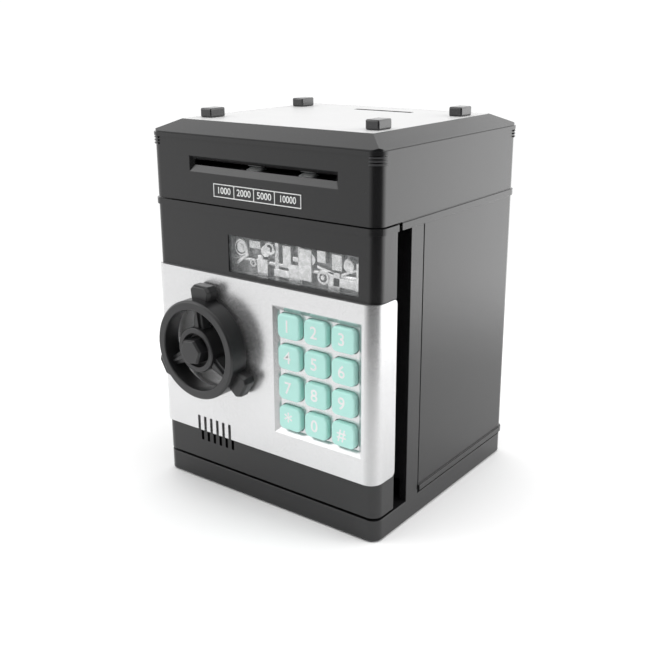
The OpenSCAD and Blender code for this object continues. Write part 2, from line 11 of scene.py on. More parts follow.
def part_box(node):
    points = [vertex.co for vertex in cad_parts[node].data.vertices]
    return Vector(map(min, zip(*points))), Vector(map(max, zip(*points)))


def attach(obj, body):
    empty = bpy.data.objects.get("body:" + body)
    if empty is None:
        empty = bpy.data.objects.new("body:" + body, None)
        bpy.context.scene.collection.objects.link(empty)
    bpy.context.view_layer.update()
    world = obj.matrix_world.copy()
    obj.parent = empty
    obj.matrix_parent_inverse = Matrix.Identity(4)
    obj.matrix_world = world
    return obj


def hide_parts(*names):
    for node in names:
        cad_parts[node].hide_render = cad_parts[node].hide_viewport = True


bl_info = {
    "name": "Toy savings bank finishes",
    "version": (1, 0, 0),
    "blender": (4, 5, 0),
    "location": "View3D > Sidebar > Savings bank",
    "description": "Builds the looks of a toy cash-machine savings bank around its packed parts",
    "category": "Object",
}

MM = 0.001
CREASE = 20.0
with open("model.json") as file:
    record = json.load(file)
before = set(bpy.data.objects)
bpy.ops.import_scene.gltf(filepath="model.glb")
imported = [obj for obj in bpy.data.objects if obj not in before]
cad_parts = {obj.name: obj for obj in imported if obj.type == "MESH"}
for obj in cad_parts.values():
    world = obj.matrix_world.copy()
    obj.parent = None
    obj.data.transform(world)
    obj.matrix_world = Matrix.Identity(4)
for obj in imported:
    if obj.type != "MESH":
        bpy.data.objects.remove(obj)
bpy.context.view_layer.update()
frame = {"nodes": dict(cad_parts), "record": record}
KEYS = ["1", "2", "3", "4", "5", "6", "7", "8", "9", "star", "0", "hash"]
KEY_MARKS = {"star": "*", "hash": "#"}
CAMERA_AT = (0.26892, -0.36717, 0.22465)
CAMERA_ANGLES = (37.08, 16.7, -0.32)    # yaw, pitch and roll, in degrees
CAMERA_SHIFT = -0.0385
DARK_SIDE, BRIGHT_SIDE = (0.72, -0.66, -0.20), (0.50, 0.84, -0.20)
SEEN_WHITE = 1.05                       # brightness of the background to the camera
COIN_SLOT = (3.5, 34.0, 34.0, 3.0)      # middle in x and y, length and width, in millimetres


# ---------------------------------------------------------------- shader nodes

class Wire:
    """One output socket of a material, with arithmetic that adds Math nodes."""

    def __init__(self, paint, socket):
        self.paint, self.socket = paint, socket

    def _maths(self, operation, a, b=0.0):
        return self.paint.node("ShaderNodeMath", {"operation": operation}, {0: a, 1: b})

    def __add__(self, other): return self._maths("ADD", self, other)
    def __radd__(self, other): return self._maths("ADD", other, self)
    def __sub__(self, other): return self._maths("SUBTRACT", self, other)
    def __rsub__(self, other): return self._maths("SUBTRACT", other, self)
    def __mul__(self, other): return self._maths("MULTIPLY", self, other)
    def __rmul__(self, other): return self._maths("MULTIPLY", other, self)
    def __truediv__(self, other): return self._maths("DIVIDE", self, other)
    def __gt__(self, other): return self._maths("GREATER_THAN", self, other)
    def __lt__(self, other): return self._maths("LESS_THAN", self, other)

    def sine(self): return self._maths("SINE", self)
    def size(self): return self._maths("ABSOLUTE", self)

    def held(self, low=0.0, high=1.0):
        return self._maths("MINIMUM", self._maths("MAXIMUM", self, low), high)


class Paint:
    """A material or world under construction. Every node comes from node()."""

    def __init__(self, owner, surface="Principled BSDF"):
        self.owner = owner
        self.owner.use_nodes = True
        self.tree = owner.node_tree
        self.surface = self.tree.nodes[surface]

    @classmethod
    def named(cls, name):
        return cls(bpy.data.materials.new(name))

    def node(self, kind, settings=None, inputs=None, out=0):
        made = self.tree.nodes.new(kind)
        for key, value in (settings or {}).items():
            setattr(made, key, value)
        for key, value in (inputs or {}).items():
            self.feed(made.inputs[key], value)
        return Wire(self, made.outputs[out])

    def feed(self, socket, value):
        if isinstance(value, Wire):
            self.tree.links.new(value.socket, socket)
        else:
            if hasattr(value, "__len__") and len(value) == 3 and socket.type == "RGBA":
                value = (*value, 1.0)
            socket.default_value = value

    def place(self):
        """The point on the piece in its own rest frame, in metres."""
        return self.node("ShaderNodeTexCoord", out="Object")

    def axis(self, place, which):
        return self.node("ShaderNodeSeparateXYZ", None, {0: place}, out=which)

    def stretched(self, place, by):
        return self.node("ShaderNodeVectorMath", {"operation": "MULTIPLY"}, {0: place, 1: by})

    def far(self, place, centre):
        """Distance from a point."""
        return self.node("ShaderNodeVectorMath", {"operation": "DISTANCE"},
                         {0: place, 1: centre}, out="Value")

    def noise(self, place, per_metre, detail=2.0):
        return self.node("ShaderNodeTexNoise", {"noise_dimensions": "3D"},
                         {"Vector": place, "Scale": per_metre, "Detail": detail})

    def cells(self, place, per_metre):
        return self.node("ShaderNodeTexVoronoi", {"feature": "F1"},
                         {"Vector": place, "Scale": per_metre})

    def mixed(self, share, a, b):
        """Colour b over colour a by share."""
        return self.node("ShaderNodeMix", {"data_type": "RGBA"}, {0: share, 6: a, 7: b}, out=2)

    def scaled(self, colour, by):
        return self.node("ShaderNodeVectorMath", {"operation": "SCALE"}, {0: colour, "Scale": by})

    def lobe(self, view, direction, low, high):
        """1 towards a direction, fading to 0 away from it."""
        along = self.node("ShaderNodeVectorMath", {"operation": "DOT_PRODUCT"},
                          {0: view, 1: Vector(direction).normalized()}, out="Value")
        return self.node("ShaderNodeMapRange", {"interpolation_type": "SMOOTHSTEP"},
                         {"Value": along, "From Min": low, "From Max": high})

    def edges(self, width):
        """1 on convex and concave edges, 0 on flat faces."""
        soft = self.node("ShaderNodeBevel", {"samples": 4}, {"Radius": width})
        flat = self.node("ShaderNodeNewGeometry", out="Normal")
        along = self.node("ShaderNodeVectorMath", {"operation": "DOT_PRODUCT"},
                          {0: soft, 1: flat}, out="Value")
        return ((1 - along) * 9).held()

    def relief(self, height, depth, strength=1.0, under=None):
        """A Bump node, chained onto the one under it."""
        inputs = {"Height": height, "Distance": depth, "Strength": strength}
        if under:
            inputs["Normal"] = under
        return self.node("ShaderNodeBump", None, inputs)

    def finish(self, **sockets):
        for key, value in sockets.items():
            self.feed(self.surface.inputs[key.replace("_", " ")], value)
        return self.owner


def moulded(name, colour, rough, grain=0.5, mottle=0.04, wear=0.6, coat=0.0):
    """Injection-moulded plastic: fine moulding grain, faint flow clouds, handling smears, pale edges."""
    p = Paint.named(name)
    place = p.place()
    cloud = p.noise(place, 42.0, 4.0)
    smear = p.noise(p.stretched(place, (1.0, 1.0, 0.25)), 160.0, 3.0)
    grit = p.noise(place, 3800.0, 2.0)
    swell = p.noise(place, 90.0, 1.0)
    speck = (p.noise(place, 1500.0, 1.0) > 0.78) * 0.25
    edge = p.edges(0.5 * MM) * wear
    tone = 1 + (cloud - 0.5) * 2 * mottle + edge * 0.55 + speck * mottle
    bump = p.relief(swell, 0.03 * MM, 0.06)
    bump = p.relief(grit, 0.012 * MM, grain, bump)
    return p.finish(Base_Color=p.scaled(colour, tone),
                    Roughness=(rough + (smear - 0.5) * 0.06 + speck * 0.3 - edge * 0.08).held(0.05),
                    Coat_Weight=coat, Coat_Roughness=0.18, Normal=bump)


def silver_paint(name, colour, rough=0.34, metal=0.45):
    """Sprayed silver lacquer: tiny flakes, orange peel, painted shade on upward faces and the side face,
    and a painted reflection band round the bend.
    """
    p = Paint.named(name)
    place = p.place()
    flakes = p.cells(place, 5200.0)
    cloud = p.noise(place, 30.0, 4.0)
    peel = p.noise(place, 620.0, 2.0)
    edge = p.edges(0.6 * MM)
    # Painted shade and reflection: cover darkens upward faces, paints a grey reflection band where the
    # panel bends round to its side, and darkens the side face a little.
    facing = p.node("ShaderNodeTexCoord", out="Normal")
    ledge, bend = p.axis(facing, "Z").held(), p.axis(facing, "X").held()
    cover = 1 - ledge * 0.42 - bend * (1 - bend) * 1.1 - bend * 0.08
    tone = (0.97 + (cloud - 0.5) * 0.07 + (flakes - 0.45) * 0.07 + edge * 0.06) * cover
    bump = p.relief(peel, 0.02 * MM, 0.3)
    bump = p.relief(flakes, 0.004 * MM, 0.25, bump)
    return p.finish(Base_Color=p.scaled(colour, tone), Metallic=(metal - (flakes - 0.5) * 0.25).held(),
                    Roughness=(rough + (cloud - 0.5) * 0.12 + (flakes - 0.5) * 0.1).held(0.08),
                    Coat_Weight=0.25, Coat_Roughness=0.12, Normal=bump)


def steel(name):
    """Drawn steel with fine drawing lines, oil haze and bright edges."""
    p = Paint.named(name)
    place = p.place()
    lines = p.noise(p.stretched(place, (1.0, 12.0, 12.0)), 900.0, 3.0)
    haze = p.noise(place, 120.0, 3.0)
    edge = p.edges(0.25 * MM)
    return p.finish(Base_Color=p.scaled((0.52, 0.53, 0.55), 0.9 + lines * 0.16 + edge * 0.15), Metallic=1.0,
                    Roughness=(0.3 + (haze - 0.5) * 0.2 + (lines - 0.5) * 0.12).held(0.06),
                    Normal=p.relief(lines, 0.008 * MM, 0.4))


def cast_works(name, colour):
    """Plated cast relief: bright crowns, dull speckled hollows."""
    p = Paint.named(name)
    place = p.place()
    depth = p.axis(place, "Y")
    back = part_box("window_relief")[1].y
    hollow = ((depth - (back - 3.6 * MM)) / (2.2 * MM)).held()
    pits = p.noise(place, 1100.0, 3.0)
    sweep = p.noise(place, 380.0, 3.0)
    edge = p.edges(0.35 * MM)
    tone = 1.4 - hollow * 0.9 + (pits - 0.5) * 0.9 * hollow + edge * 0.6 + (sweep - 0.5) * 1.6
    return p.finish(Base_Color=p.scaled(colour, tone), Metallic=0.75,
                    Roughness=(0.22 + hollow * 0.25 + (pits - 0.5) * 0.2).held(0.06),
                    Normal=p.relief(pits + sweep, 0.12 * MM, 0.5))


def clear_sheet(name):
    """Clear styrene: nearly invisible face on, with faint wipe marks."""
    p = Paint.named(name)
    place = p.place()
    wipe = p.noise(p.stretched(place, (1.0, 1.0, 3.0)), 70.0, 3.0)
    edge = p.edges(0.4 * MM)
    p.owner.surface_render_method = "BLENDED"
    return p.finish(Base_Color=(0.9, 0.93, 0.94), Alpha=(0.07 + wipe * 0.05 + edge * 0.25).held(),
                    Roughness=(0.05 + wipe * 0.06).held(), IOR=1.5, Normal=p.relief(wipe, 0.01 * MM, 0.2))


def rubber(name, colour, rough=0.72, bands=0.0):
    """Moulded rubber: dusty, finely pitted, with optional grip bands along X."""
    p = Paint.named(name)
    place = p.place()
    dust = p.noise(place, 190.0, 4.0)
    pits = p.noise(place, 2400.0, 2.0)
    band = (p.axis(place, "X") * bands).sine() if bands else dust
    edge = p.edges(0.5 * MM)
    bump = p.relief(pits, 0.03 * MM, 0.5, p.relief(band, 0.08 * MM, 0.5))
    return p.finish(Base_Color=p.scaled(colour, 0.9 + dust * 0.3 + edge * 0.35),
                    Roughness=(rough + (dust - 0.5) * 0.2).held(), Sheen_Weight=0.15, Normal=bump)


def circuit(name, top_z=None):
    """Green solder mask with copper tracks and tinned pads; parts above top_z are black packages."""
    p = Paint.named(name)
    place = p.place()
    track = (p.noise(p.stretched(place, (1.0, 3.0, 1.0)), 260.0, 0.0) - 0.5).size() < 0.035
    pads = p.cells(place, 420.0) < 0.16
    weave = p.noise(p.stretched(place, (6.0, 1.0, 6.0)), 900.0, 1.0)
    green = p.mixed(track * 0.8, p.scaled((0.012, 0.105, 0.035), 0.85 + weave * 0.3), (0.06, 0.26, 0.08))
    board = p.mixed(pads, green, (0.72, 0.70, 0.62))
    rough, metal, height = 0.38 - pads * 0.1, pads * 0.9, track * 0.4 + pads
    if top_z is not None:
        package = p.axis(place, "Z") > top_z
        board = p.mixed(package, board, p.scaled((0.022, 0.022, 0.024), 0.8 + weave * 0.4))
        metal = metal * (1 - package)
        height = height * (1 - package)
    return p.finish(Base_Color=board, Roughness=rough, Metallic=metal.held(),
                    Normal=p.relief(height, 0.04 * MM, 0.6))


def cell_jacket(name):
    """Shrink-wrapped dry cells: coloured sleeve, pale band, bare steel ends."""
    p = Paint.named(name)
    lo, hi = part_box("battery_cells")
    place = p.place()
    along = (p.axis(place, "X") - lo.x) / (hi.x - lo.x)
    tip = along > 0.965
    band = (along > 0.80) * (along < 0.86)
    scuff = p.noise(place, 260.0, 4.0)
    sleeve = p.mixed(band, p.scaled((0.05, 0.11, 0.2), 0.85 + scuff * 0.35), (0.7, 0.7, 0.68))
    return p.finish(Base_Color=p.mixed(tip, sleeve, (0.6, 0.6, 0.6)), Metallic=tip,
                    Roughness=(0.3 + (scuff - 0.5) * 0.2).held(),
                    Normal=p.relief(scuff, 0.03 * MM, 0.3))


def speaker_cone(name, centre):
    """Pressed paper cone with rolled rings and fibres."""
    p = Paint.named(name)
    place = p.place()
    rings = (p.far(place, centre) * 5200.0).sine()
    fibre = p.noise(p.stretched(place, (1.0, 1.0, 5.0)), 1300.0, 3.0)
    tone = 0.85 + fibre * 0.4 + rings * 0.06
    return p.finish(Base_Color=p.scaled((0.03, 0.03, 0.032), tone),
                    Roughness=(0.78 + (fibre - 0.5) * 0.2).held(),
                    Normal=p.relief(rings * 0.6 + fibre * 0.4, 0.1 * MM, 0.5))


def printed(name, colour):
    """Screen-printed ink: slightly uneven cover and a thick soft edge."""
    p = Paint.named(name)
    place = p.place()
    cover = p.noise(place, 900.0, 3.0)
    return p.finish(Base_Color=p.scaled(colour, 0.9 + cover * 0.12),
                    Roughness=(0.48 + (cover - 0.5) * 0.2).held(),
                    Normal=p.relief(cover, 0.02 * MM, 0.4))


FINISHES = {}


def make_finishes(tones):
    """Every finish by the name of its material slot."""
    FINISHES.update({
        "black_shell": moulded("black_shell", tones.casing, 0.25),
        "silver_face": silver_paint("silver_face", tones.face, 0.27, 0.8),
        "roof_grey": moulded("roof_grey", tones.roof, 0.42, grain=0.7, mottle=0.03, wear=0.2),
        "post_black": moulded("post_black", tones.wheel, 0.26, grain=0.3, coat=0.4),
        "trim_grey": moulded("trim_grey", (0.045, 0.045, 0.047), 0.3, wear=0.8),
        "mint_key": moulded("mint_key", tones.key, 0.4, grain=0.4, mottle=0.04, wear=0.25, coat=0.15),
        "wheel_grey": moulded("wheel_grey", tones.wheel, 0.36, grain=0.6, mottle=0.1, wear=0.8, coat=0.1),
        "lens_clear": clear_sheet("lens_clear"),
        "relief_silver": cast_works("relief_silver", tones.works),
        "label_black": moulded("label_black", (0.012, 0.012, 0.013), 0.3, grain=0.3),
        "inner_white": moulded("inner_white", (0.60, 0.60, 0.57), 0.45, grain=0.6, mottle=0.05, wear=0.2),
        "steel": steel("steel"),
        "foot_rubber": rubber("foot_rubber", (0.022, 0.022, 0.022)),
        "roller_rubber": rubber("roller_rubber", (0.80, 0.81, 0.81), 0.6, 6500.0),
        "circuit_green": circuit("circuit_green"),
        "mat_silicone": rubber("mat_silicone", (0.20, 0.215, 0.22), 0.6),
        "cell_jacket": cell_jacket("cell_jacket"),
        "figure_white": printed("figure_white", tones.figures),
    })


# ---------------------------------------------------------------- mesh helpers

def tidy(mesh, shape, name):
    """Writes a bmesh to a mesh with smooth faces and sharp creases."""
    bmesh.ops.recalc_face_normals(shape, faces=shape.faces)
    shape.to_mesh(mesh)
    shape.free()
    mesh.shade_smooth()
    mesh.set_sharp_from_angle(angle=math.radians(CREASE))
    mesh.name = name


def add_piece(name, mesh, finish, body, replaces=(), soft=0.0, segments=2):
    """Puts a mesh in the scene as a piece on a body, with softened edges."""
    piece = bpy.data.objects.new(name, mesh)
    bpy.context.collection.objects.link(piece)
    mesh.materials.clear()
    material = FINISHES.get(finish)
    mesh.materials.append(material)
    for face in mesh.polygons:
        face.material_index = 0
    if soft:
        bevel = piece.modifiers.new("soft edges", "BEVEL")
        bevel.width, bevel.segments = soft, segments
        bevel.limit_method, bevel.angle_limit = "ANGLE", math.radians(CREASE)
        bevel.harden_normals = True
        bevel.miter_outer = "MITER_ARC"
        level = piece.modifiers.new("flat faces", "WEIGHTED_NORMAL")
        level.keep_sharp, level.weight = True, 100
    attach(piece, body)
    if replaces:
        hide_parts(*replaces)
    return piece


def soften(node, finish, width, segments=2, rounded=None, merge=True):
    """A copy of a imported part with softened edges, which stands for it. merge joins its flat faces."""
    mesh = frame["nodes"][node].data.copy()
    shape = bmesh.new()
    shape.from_mesh(mesh)
    bmesh.ops.remove_doubles(shape, verts=shape.verts, dist=2e-6)
    if merge:
        bmesh.ops.dissolve_limit(shape, angle_limit=math.radians(0.6), verts=shape.verts, edges=shape.edges)
    if rounded:
        pick, radius = rounded
        ends = [e for e in shape.edges if pick(*(v.co for v in e.verts))]
        bmesh.ops.bevel(shape, geom=ends, offset=radius, segments=5, profile=0.5, affect="EDGES")
    tidy(mesh, shape, node + "_soft")
    return add_piece(node + "_soft", mesh, finish, NODE_BODY[node], (node,), width, segments)


def paint_node(node, finish):
    """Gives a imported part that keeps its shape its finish."""
    mesh = frame["nodes"][node].data
    material = FINISHES[finish] if isinstance(finish, str) else finish
    for index in range(max(1, len(mesh.materials))):
        if index < len(mesh.materials):
            mesh.materials[index] = material
        else:
            mesh.materials.append(material)


def lathe(shape, centre, profile, axis="Y", steps=96):
    """Turns a closed profile of (radius, distance along the axis) about an axis through centre."""
    rings = []
    for radius, along in profile:
        ring = []
        for i in range(steps):
            a = 2 * math.pi * i / steps
            c, s = radius * math.cos(a), radius * math.sin(a)
            at = Vector((c, along, s)) if axis == "Y" else Vector((along, c, s))
            ring.append(shape.verts.new(Vector(centre) + at))
        rings.append(ring)
    for low, high in zip(rings, rings[1:] + rings[:1]):
        for i in range(steps):
            j = (i + 1) % steps
            shape.faces.new((low[i], low[j], high[j], high[i]))


def prism(shape, outline, y0, y1, turn=0.0, about=(0.0, 0.0), shrink=1.0):
    """An upright outline in x and z, run from y0 back to y1, its front scaled by shrink."""
    c, s = math.cos(turn), math.sin(turn)
    mid = [sum(p[k] for p in outline) / len(outline) for k in (0, 1)]

    def at(p, y, by):
        x = mid[0] + (p[0] - mid[0]) * by
        z = mid[1] + (p[1] - mid[1]) * by
        return shape.verts.new((about[0] + x * c - z * s, y, about[1] + x * s + z * c))

    front = [at(p, y0, shrink) for p in outline]
    back = [at(p, y1, 1.0) for p in outline]
    shape.faces.new(front)
    shape.faces.new(back[::-1])
    for i in range(len(outline)):
        j = (i + 1) % len(outline)
        shape.faces.new((front[i], back[i], back[j], front[j]))


def block(shape, x0, x1, z0, z1, y0, y1, shrink=1.0):
    prism(shape, [(x0, z0), (x1, z0), (x1, z1), (x0, z1)], y0, y1, shrink=shrink)


def polygon(sides, radius, start=0.0):
    return [(radius * math.cos(start + 2 * math.pi * i / sides),
             radius * math.sin(start + 2 * math.pi * i / sides)) for i in range(sides)]


def figures(name, text, size, x, z, y, rise, body, squeeze=1.0):
    """Printed figures on an upright face, standing proud by rise."""
    curve = bpy.data.curves.new(name, "FONT")
    curve.body, curve.size, curve.extrude = text, size, rise
    curve.align_x, curve.align_y = "CENTER", "CENTER"
    curve.resolution_u = 6
    curve.offset = size * 0.012
    source = bpy.data.objects.new(name, curve)
    bpy.context.collection.objects.link(source)
    source.matrix_world = (Matrix.Translation((x, y, z)) @ Matrix.Rotation(math.pi / 2, 4, "X")
                           @ Matrix.Diagonal((squeeze, 1.0, 1.0, 1.0)))
    bpy.context.view_layer.update()
    mesh = bpy.data.meshes.new_from_object(source.evaluated_get(bpy.context.evaluated_depsgraph_get()))
    mesh.transform(source.matrix_world)
    bpy.data.objects.remove(source)
    return add_piece(name, mesh, "figure_white", body)


RECORD = frame["record"]
NODE_BODY = {node: body for body, nodes in RECORD["behaviour"]["bodies"].items() for node in nodes}


# ---------------------------------------------------------------- what a user may change

def colour(name, description, default):
    return bpy.props.FloatVectorProperty(name=name, description=description, default=default,
                                         subtype="COLOR", size=3, min=0.0, max=1.0)


def length(name, description, default):
    return bpy.props.FloatProperty(name=name, description=description, default=default * MM,
                                   subtype="DISTANCE", unit="LENGTH", min=0.0)


class BankTones(bpy.types.PropertyGroup):
    """Colours of the bank's finishes."""
    casing: colour("Casing", "Black plastic of the cabinet, head and door", (0.011, 0.011, 0.0115))
    face: colour("Face", "Silver lacquer of the door's panel", (0.72, 0.72, 0.725))
    roof: colour("Roof", "Pale plastic of the roof panel", (0.60, 0.60, 0.60))
    key: colour("Keys", "Mint plastic of the keys", (0.50, 0.86, 0.785))
    figures: colour("Figures", "White print on keys and label", (0.94, 0.95, 0.94))
    wheel: colour("Handwheel", "Charcoal plastic of the handwheel", (0.017, 0.017, 0.018))
    works: colour("Lock works", "Plated relief behind the window", (0.50, 0.50, 0.50))


class BankSizes(bpy.types.PropertyGroup):
    """Sizes of the fine detail."""
    edge: length("Edge softness", "Rounding of the moulded edges", 0.45)
    key_edge: length("Key softness", "Rounding of the key tops", 0.9)
    figure: length("Figure height", "Height of the figures on the keys", 8.1)
    small_figure: length("Label figure height", "Height of the figures on the label", 4.3)
    print_rise: length("Print thickness", "How far the print stands off the plastic", 0.06)
    panel_corner: length("Panel end corner", "Rounding of the silver panel's end", 2.2)
    rim: length("Rim radius", "Outer radius of the handwheel's rim", 24.2)
    hub: length("Hub radius", "Radius of the handwheel's hub", 11.0)
    spoke: length("Spoke width", "Width of a spoke at the hub", 6.8)
    grip: length("Grip width", "Width of a grip round the rim", 12.6)


class BankStage(bpy.types.PropertyGroup):
    """Lights and camera."""
    sky: bpy.props.FloatProperty(name="Studio white", description="Brightness of the white studio",
                                 default=1.12, min=0.0)
    key_light: bpy.props.FloatProperty(name="Key light", description="Power of the front left softbox",
                                       default=3.0, min=0.0, subtype="POWER", unit="POWER")
    lens: bpy.props.FloatProperty(name="Lens", description="Focal length of the camera",
                                  default=51.672, min=10.0, subtype="DISTANCE_CAMERA")


# ---------------------------------------------------------------- the bank's own pieces

class Maker:
    """Runs build() and lets an error stop the script."""
    bl_options = {"REGISTER", "UNDO"}

    def execute(self, context):
        scene = context.scene
        self.build(scene.bank_sizes, scene.bank_tones)
        return {"FINISHED"}


class BANK_OT_finishes(Maker, bpy.types.Operator):
    """Mix every plastic, lacquer, metal and rubber finish"""
    bl_idname = "bank.finishes"
    bl_label = "Finishes"

    def build(self, sizes, tones):
        make_finishes(tones)


class BANK_OT_casing(Maker, bpy.types.Operator):
    """Cabinet, head, roof and base with softened moulded edges"""
    bl_idname = "bank.casing"
    bl_label = "Casing"

    def build(self, sizes, tones):
        for node in ("base_tray", "rear_shell", "head_housing"):
            soften(node, "black_shell", sizes.edge)
        soften("roof_panel", "roof_grey", sizes.edge * 0.6)
        soften("roof_posts", "post_black", sizes.edge * 1.6, 3)
        soften("corner_trims", "trim_grey", sizes.edge * 0.4, 1)
        # Painted shade: a dark liner stands for the shadow inside the coin slot.
        self.paint_coin_slot_shade()
        soften("mechanism_deck", "inner_white", sizes.edge * 0.6)
        soften("rubber_feet", "foot_rubber", sizes.edge)
        for node in ("hinge_pins", "strike_lug", "housing_screws"):
            soften(node, "steel", sizes.edge * 0.4, 1)


    def paint_coin_slot_shade(self):
        """Painted shade: dark sheets lining the walls of the coin slot, which lie in shadow."""
        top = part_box("roof_panel")[1].z
        x, y = COIN_SLOT[0] * MM, COIN_SLOT[1] * MM
        half, wide, wall = COIN_SLOT[2] * MM / 2, COIN_SLOT[3] * MM / 2, 0.3 * MM
        z0, z1 = top - 1.7 * MM, top + 0.06 * MM
        shape = bmesh.new()
        block(shape, x - half, x + half, z0, z1, y - wide, y - wide + wall)
        block(shape, x - half, x + half, z0, z1, y + wide - wall, y + wide)
        for end in (x - half, x + half - wall):
            block(shape, end, end + wall, z0, z1, y - wide, y + wide)
        mesh = bpy.data.meshes.new("coin_slot_painted_shade")
        tidy(mesh, shape, "coin_slot_painted_shade")
        add_piece("coin_slot_painted_shade", mesh, "label_black", NODE_BODY["roof_panel"])


class BANK_OT_door(Maker, bpy.types.Operator):
    """Door shell, silver panel and what the door carries inside"""
    bl_idname = "bank.door"
    bl_label = "Door"

    def build(self, sizes, tones):
        soften("door_shell", "black_shell", sizes.edge, merge=False)
        lo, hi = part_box("silver_panel")
        reach = 0.4 * MM

        def end_corner(a, b):
            return (min(a.x, b.x) > hi.x - 3 * MM and min(a.y, b.y) > hi.y - reach
                    and abs(a.z - b.z) < reach and abs(a.x - b.x) > reach
                    and (a.z < lo.z + reach or a.z > hi.z - reach))
        soften("silver_panel", "silver_face", sizes.edge * 1.2, 3, (end_corner, sizes.panel_corner))
        soften("door_back_cover", "black_shell", sizes.edge)
        soften("battery_box", "black_shell", sizes.edge)
        soften("battery_cover", "black_shell", sizes.edge)
        soften("wheel_bush", "wheel_grey", sizes.edge * 0.4)
        soften("latch_guides", "wheel_grey", sizes.edge * 0.6)
        soften("latch_bolt", "inner_white", sizes.edge * 0.4)
        paint_node("latch_pinion", "inner_white")
        soften("door_screws", "steel", sizes.edge * 0.6)
        paint_node("wheel_shaft", "steel")
        paint_node("battery_contacts", "steel")
        paint_node("battery_cells", "cell_jacket")
        self.cover_ribs()
        self.speaker_unit()

    def cover_ribs(self):
        """A moulded frame and pull tab on the battery cover."""
        lo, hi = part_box("battery_cover")
        shape = bmesh.new()
        m, y = 3 * MM, hi.y
        rise, wide = 0.5 * MM, 1.1 * MM
        x0, x1, z0, z1 = lo.x + m, hi.x - m, lo.z + m, hi.z - m
        for a, b, c, d in ((x0, x1, z0, z0 + wide), (x0, x1, z1 - wide, z1),
                           (x0, x0 + wide, z0, z1), (x1 - wide, x1, z0, z1)):
            block(shape, a, b, c, d, y - 0.2 * MM, y + rise)
        mid = (x0 + x1) / 2
        for i in range(4):
            z = z1 - 4 * MM - i * 1.6 * MM
            block(shape, mid - 7 * MM, mid + 7 * MM, z, z + 0.8 * MM, y - 0.2 * MM, y + rise)
        mesh = bpy.data.meshes.new("battery_cover_ribs")
        tidy(mesh, shape, "battery_cover_ribs")
        add_piece("battery_cover_ribs", mesh, "black_shell", NODE_BODY["battery_cover"], (), 0.15 * MM, 1)

    def speaker_unit(self):
        """Pressed basket, rolled surround, paper cone and dome."""
        lo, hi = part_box("speaker")
        mid = (lo + hi) / 2
        r = (hi.x - lo.x) / 2
        steps = [(0.0001, 0.9), (2.6, 0.25), (3.4, 1.1), (8.2, 0.45), (8.9, 0.0), (9.8, 0.35), (11.0, 0.3),
                 (11.0, 1.9), (7.0, 2.0), (7.0, 6.4), (0.0001, 6.4)]
        shape = bmesh.new()
        lathe(shape, (mid.x, lo.y, mid.z), [(a * r / 11, b * MM) for a, b in steps])
        mesh = bpy.data.meshes.new("speaker_unit")
        tidy(mesh, shape, "speaker_unit")
        FINISHES["speaker_dark"] = speaker_cone("speaker_dark", (mid.x, lo.y, mid.z))
        add_piece("speaker_unit", mesh, "speaker_dark", NODE_BODY["speaker"], ("speaker",))


class BANK_OT_keypad(Maker, bpy.types.Operator):
    """Twelve soft-edged keys with printed figures, their mat and board"""
    bl_idname = "bank.keypad"
    bl_label = "Keypad"

    def build(self, sizes, tones):
        for key in KEYS:
            node = "key_" + key
            soften(node, "mint_key", sizes.key_edge, 4)
            lo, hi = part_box(node)
            mid = (lo + hi) / 2
            mark = KEY_MARKS.get(key, key)
            drop = sizes.figure * 0.18 if key == "star" else 0.0
            figures(node + "_figure", mark, sizes.figure * (1.3 if key == "star" else 1.0),
                    mid.x - 0.7 * MM, mid.z - drop, lo.y, sizes.print_rise, NODE_BODY[node])
        paint_node("key_mat", "mat_silicone")
        paint_node("keypad_board", "circuit_green")


